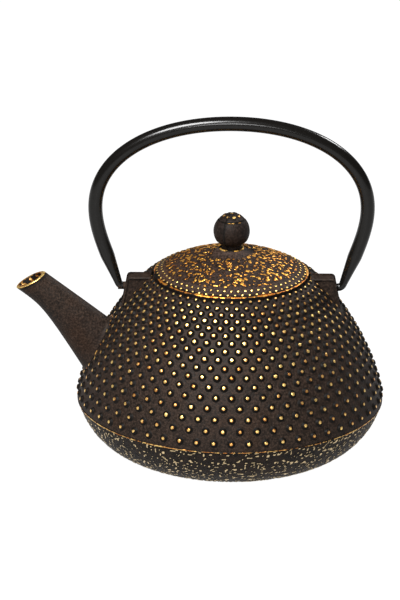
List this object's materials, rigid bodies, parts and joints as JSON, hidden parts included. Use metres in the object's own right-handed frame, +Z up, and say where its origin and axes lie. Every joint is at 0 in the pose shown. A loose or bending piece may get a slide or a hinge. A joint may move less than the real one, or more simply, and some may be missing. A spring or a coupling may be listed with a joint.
{
  "type": "teapot with infuser",
  "caption": "Squat bell-shaped cast-iron teapot with hobnail relief, domed lid with ball knob, swinging bail handle and a lift-out mesh tea infuser.",
  "frame": {"origin": "centre of the foot, in the plane of the table, on the pot's axis", "axes": "+Z up along the pot's axis, spout towards -X, bail hinged about the X direction"},
  "size_m": [0.2064, 0.172, 0.1959],
  "materials": {
    "pot_iron": "matt brown-black cast iron, hobnail tips, spout lip and parting line rubbed with gold, speckled below the parting line",
    "lid_iron": "matt brown-black cast iron mottled with rubbed gold",
    "knob_iron": "matt brown-black cast iron, dots on the crown rubbed with gold",
    "knob_steel": "plain mild steel",
    "bail_enamel": "semi-gloss black enamel",
    "infuser_sheet": "stamped stainless steel, satin",
    "infuser_mesh": "woven stainless steel wire"
  },
  "bodies": {
    "pot": {"pot_bowl": "pot_iron", "pot_bell": "pot_iron", "spout": "pot_iron"},
    "handle": {"bail_handle": "bail_enamel"},
    "infuser": {"infuser_rim": "infuser_sheet", "infuser_mesh_wall": "infuser_mesh", "infuser_base_mesh": "infuser_mesh", "infuser_base_cap": "infuser_sheet"},
    "lid": {"lid": "lid_iron"},
    "knob": {"lid_knob": "knob_iron", "knob_rivet": "knob_steel", "knob_washer": "knob_steel"}
  },
  "joints": [
    {"name": "bail_swing", "type": "hinge", "parent": "pot", "child": "handle", "pos_m": [0, 0, 0.096], "axis": [1, 0, 0], "range_deg": [-114, 114]},
    {"name": "infuser_lift", "type": "slide", "parent": "pot", "child": "infuser", "axis": [0, 0, 1], "range_m": [0, 0.046]},
    {"name": "lid_lift", "type": "slide", "parent": "infuser", "child": "lid", "axis": [0, 0, 1], "range_m": [0, 0.046]},
    {"name": "knob_turn", "type": "hinge", "parent": "lid", "child": "knob", "pos_m": [0, 0, 0.13], "axis": [0, 0, 1], "continuous": true}
  ]
}
